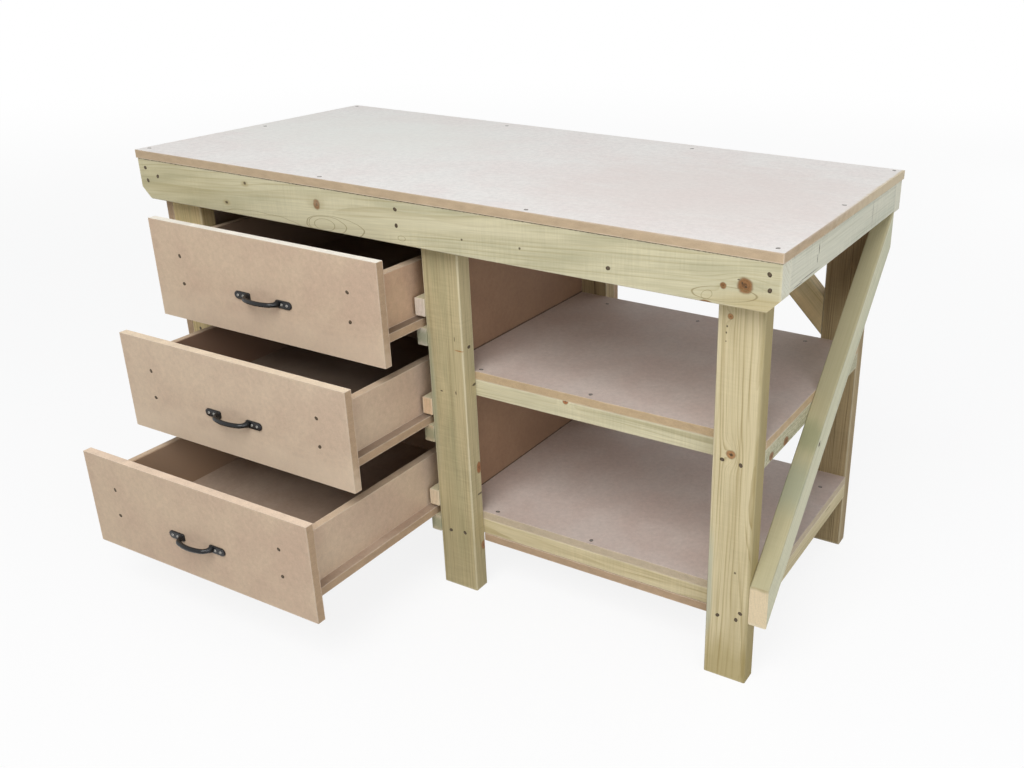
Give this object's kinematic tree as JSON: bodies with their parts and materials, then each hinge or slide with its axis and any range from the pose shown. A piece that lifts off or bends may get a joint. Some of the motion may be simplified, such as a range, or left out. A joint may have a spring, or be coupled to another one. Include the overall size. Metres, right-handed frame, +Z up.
{
  "type": "workbench",
  "caption": "Free-standing timber workbench with a flat board worktop, three pull-out drawers on batten runners, two open shelves and diagonal braces.",
  "frame": {"origin": "on the floor, under the middle of the box round the bench as stored, with its drawers standing open", "axes": "+X along the worktop to the end with the diagonal brace, +Y from the drawer fronts to the back, +Z up"},
  "size_m": [1.524, 1.069, 0.9],
  "materials": {
    "worktop_board": "sealed MDF sheet, matt",
    "drawer_board": "bare MDF, matt",
    "case_board": "bare MDF, matt",
    "timber": "pressure treated softwood, pale green",
    "black_iron": "satin black",
    "screw_steel": "dull zinc"
  },
  "bodies": {
    "bench": {"worktop": "worktop_board", "apron_front": "timber", "apron_back": "timber", "apron_left": "timber", "apron_right": "timber", "cross_rail": "timber", "leg_front_left": "timber", "leg_front_middle": "timber", "leg_front_right": "timber", "leg_back_left": "timber", "leg_back_middle": "timber", "leg_back_right": "timber", "side_panel": "case_board", "back_panel": "case_board", "partition": "case_board", "upper_shelf": "case_board", "upper_shelf_rail_front": "timber", "upper_shelf_rail_back": "timber", "upper_shelf_rail_left": "timber", "upper_shelf_rail_right": "timber", "lower_shelf": "case_board", "lower_shelf_rail_front": "timber", "lower_shelf_rail_back": "timber", "lower_shelf_rail_left": "timber", "lower_shelf_rail_right": "timber", "lower_shelf_strip": "case_board", "end_brace": "timber", "knee_brace": "timber", "bottom_drawer_runners_left": "timber", "bottom_drawer_runners_right": "timber", "middle_drawer_runners_left": "timber", "middle_drawer_runners_right": "timber", "top_drawer_runners_left": "timber", "top_drawer_runners_right": "timber"},
    "bottom_drawer": {"bottom_drawer_front": "drawer_board", "bottom_drawer_inner_front": "drawer_board", "bottom_drawer_side_left": "drawer_board", "bottom_drawer_side_right": "drawer_board", "bottom_drawer_back": "drawer_board", "bottom_drawer_base": "drawer_board", "bottom_drawer_handle": "black_iron", "bottom_drawer_handle_screws": "screw_steel"},
    "middle_drawer": {"middle_drawer_front": "drawer_board", "middle_drawer_inner_front": "drawer_board", "middle_drawer_side_left": "drawer_board", "middle_drawer_side_right": "drawer_board", "middle_drawer_back": "drawer_board", "middle_drawer_base": "drawer_board", "middle_drawer_handle": "black_iron", "middle_drawer_handle_screws": "screw_steel"},
    "top_drawer": {"top_drawer_front": "drawer_board", "top_drawer_inner_front": "drawer_board", "top_drawer_side_left": "drawer_board", "top_drawer_side_right": "drawer_board", "top_drawer_back": "drawer_board", "top_drawer_base": "drawer_board", "top_drawer_handle": "black_iron", "top_drawer_handle_screws": "screw_steel"}
  },
  "joints": [
    {"name": "bottom_drawer_slide", "type": "slide", "parent": "bench", "child": "bottom_drawer", "axis": [0, -1, 0], "range_m": [-0.362, 0.088]},
    {"name": "middle_drawer_slide", "type": "slide", "parent": "bench", "child": "middle_drawer", "axis": [0, -1, 0], "range_m": [-0.229, 0.221]},
    {"name": "top_drawer_slide", "type": "slide", "parent": "bench", "child": "top_drawer", "axis": [0, -1, 0], "range_m": [-0.113, 0.337]}
  ]
}
